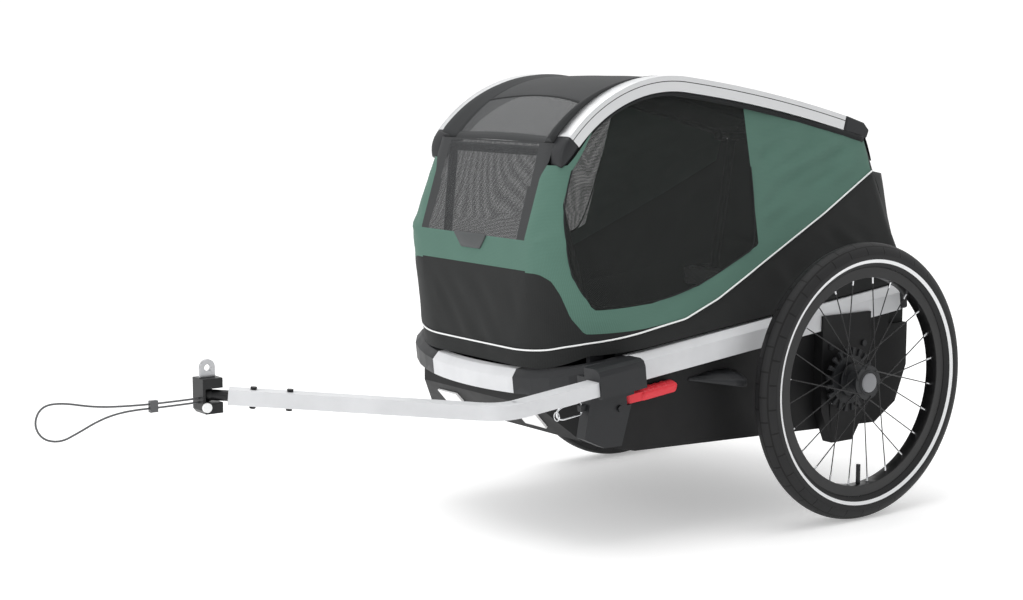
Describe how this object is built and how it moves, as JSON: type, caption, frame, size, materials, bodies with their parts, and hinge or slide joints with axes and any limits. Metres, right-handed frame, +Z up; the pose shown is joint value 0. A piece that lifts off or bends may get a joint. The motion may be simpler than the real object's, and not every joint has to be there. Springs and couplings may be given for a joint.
{
  "type": "dog bike trailer",
  "caption": "Dog bike trailer with a folding cloth cabin on a silver tube frame, spoked wheels, bent tow arm and swivel hitch with a safety cable.",
  "frame": {"origin": "on the ground, under the middle of the box round the trailer with its tow arm, safety cable left out", "axes": "+X to the rear, +Y to the trailer's right, +Z up"},
  "size_m": [1.6849, 0.73, 0.7943],
  "materials": {
    "tyre": "matt tread rubber",
    "rim": "satin black",
    "spoke": "satin black",
    "hub": "satin black",
    "steel": "plain steel",
    "button": "satin grey",
    "silver": "satin anodised",
    "black_plastic": "fine grain moulded",
    "tub": "fine grain moulded",
    "mat": "padded cloth",
    "reflector": "gloss white lens",
    "red": "moulded",
    "chrome": "polished wire",
    "green_cloth": "woven polyester",
    "black_cloth": "woven polyester",
    "window_mesh": "dark see-through mesh",
    "front_mesh": "grey mesh",
    "roof_mesh": "grey mesh and cloth",
    "hitch": "black",
    "plate": "satin",
    "white_plastic": "moulded",
    "cable": "grey coated wire",
    "dark_tube": "powder coated"
  },
  "bodies": {
    "chassis": {"axle_carrier_left": "tub", "axle_carrier_right": "tub", "floor_mat": "mat", "fold_brackets": "black_plastic", "frame_screws": "dark_tube", "front_band": "green_cloth", "front_corner_left": "black_plastic", "front_corner_right": "black_plastic", "front_cross_tube": "silver", "front_mesh": "front_mesh", "front_panel": "black_cloth", "front_reflectors": "reflector", "rear_corners": "black_plastic", "rear_cross_tube": "silver", "rear_panel": "black_cloth", "side_guards": "tub", "side_panels_lower": "black_cloth", "side_panels_upper": "green_cloth", "side_tube_left": "silver", "side_tube_right": "silver", "tub": "tub", "windows": "window_mesh"},
    "wheel_left": {"tyre_left": "tyre", "rim_left": "rim", "spokes_left": "spoke", "hub_left": "hub", "valve_left": "black_plastic", "wheel_axle_left": "steel"},
    "wheel_right": {"tyre_right": "tyre", "rim_right": "rim", "spokes_right": "spoke", "hub_right": "hub", "valve_right": "black_plastic", "wheel_axle_right": "steel"},
    "button_left": {"release_button_left": "button"},
    "button_right": {"release_button_right": "button"},
    "tow_arm": {"tow_arm_tube": "silver", "ball_stem": "hitch", "arm_bolts": "hitch", "arm_nuts": "hitch"},
    "hitch": {"hitch_cup": "hitch", "axle_plate": "plate", "safety_cable": "cable", "cable_ferrule": "cable"},
    "lock_pin": {"retaining_pin": "white_plastic"},
    "lever": {"release_lever": "red"},
    "bail": {"wire_bail": "chrome"},
    "pedal": {"brake_pedal": "black_plastic"},
    "pin_left": {"brake_pin_left": "steel"},
    "pin_right": {"brake_pin_right": "steel"},
    "front_link": {"front_hoop": "dark_tube"},
    "rear_link": {"rear_hoop": "dark_tube"},
    "roof": {"roof_rail_left": "silver", "roof_rail_right": "silver", "rail_front_caps": "black_plastic", "rail_rear_caps": "black_plastic", "roof_cross_bar": "dark_tube", "roof_canopy": "roof_mesh"}
  },
  "joints": [
    {"name": "wheel_left_spin", "type": "hinge", "parent": "chassis", "child": "wheel_left", "pos_m": [0.46128, -0.34, 0.25], "axis": [0, 1, 0], "continuous": true},
    {"name": "wheel_right_spin", "type": "hinge", "parent": "chassis", "child": "wheel_right", "pos_m": [0.46128, 0.34, 0.25], "axis": [0, 1, 0], "continuous": true},
    {"name": "button_left_press", "type": "slide", "parent": "wheel_left", "child": "button_left", "axis": [0, 1, 0], "range_m": [0, 0.004], "stiffness_N_per_m": 600},
    {"name": "button_right_press", "type": "slide", "parent": "wheel_right", "child": "button_right", "axis": [0, -1, 0], "range_m": [0, 0.004], "stiffness_N_per_m": 600},
    {"name": "tow_arm_pull", "type": "slide", "parent": "chassis", "child": "tow_arm", "axis": [-0.994, 0, -0.1097], "range_m": [0, 0.085]},
    {"name": "hitch_swivel", "type": "hinge", "parent": "tow_arm", "child": "hitch", "pos_m": [-0.69528, -0.06995, 0.31168], "axis": [0, 0, 1], "range_deg": [-40, 40]},
    {"name": "retaining_pin_pull", "type": "slide", "parent": "hitch", "child": "lock_pin", "axis": [0, -1, 0], "range_m": [0, 0.045]},
    {"name": "lever_swing", "type": "hinge", "parent": "chassis", "child": "lever", "pos_m": [-0.02854, -0.279, 0.26364], "axis": [0.1097, 0, -0.994], "range_deg": [0, 35]},
    {"name": "bail_swing", "type": "hinge", "parent": "chassis", "child": "bail", "pos_m": [-0.12754, -0.279, 0.25799], "axis": [-0.1097, 0, 0.994], "range_deg": [0, 80]},
    {"name": "pedal_press", "type": "hinge", "parent": "chassis", "child": "pedal", "pos_m": [0.67128, 0, 0.292], "axis": [0, 1, 0], "range_deg": [0, 25]},
    {"name": "brake_pin_left_slide", "type": "slide", "parent": "chassis", "child": "pin_left", "axis": [0, -1, 0], "range_m": [0, 0.0145]},
    {"name": "brake_pin_right_slide", "type": "slide", "parent": "chassis", "child": "pin_right", "axis": [0, 1, 0], "range_m": [0, 0.0145]},
    {"name": "cabin_fold", "type": "hinge", "parent": "chassis", "child": "front_link", "pos_m": [-0.0633, 0, 0.354], "axis": [0, 1, 0], "range_deg": [0, 75], "deforming": ["windows", "side_panels_upper", "side_panels_lower", "front_panel", "front_band", "front_mesh", "rear_panel"]},
    {"name": "roof_turn", "type": "hinge", "parent": "front_link", "child": "roof", "pos_m": [-0.0913, 0, 0.66861], "axis": [0, 1, 0], "range_deg": [-75, 0]},
    {"name": "rear_hoop_turn", "type": "hinge", "parent": "chassis", "child": "rear_link", "pos_m": [0.61269, 0, 0.35369], "axis": [0, 1, 0], "range_deg": [0, 75]}
  ],
  "couplings": [
    {"joint": "brake_pin_left_slide", "follows": "pedal_press", "m_per_rad": 0.0321},
    {"joint": "brake_pin_right_slide", "follows": "pedal_press", "m_per_rad": 0.0321},
    {"joint": "roof_turn", "follows": "cabin_fold", "ratio": -1},
    {"joint": "rear_hoop_turn", "follows": "cabin_fold", "ratio": 1}
  ]
}
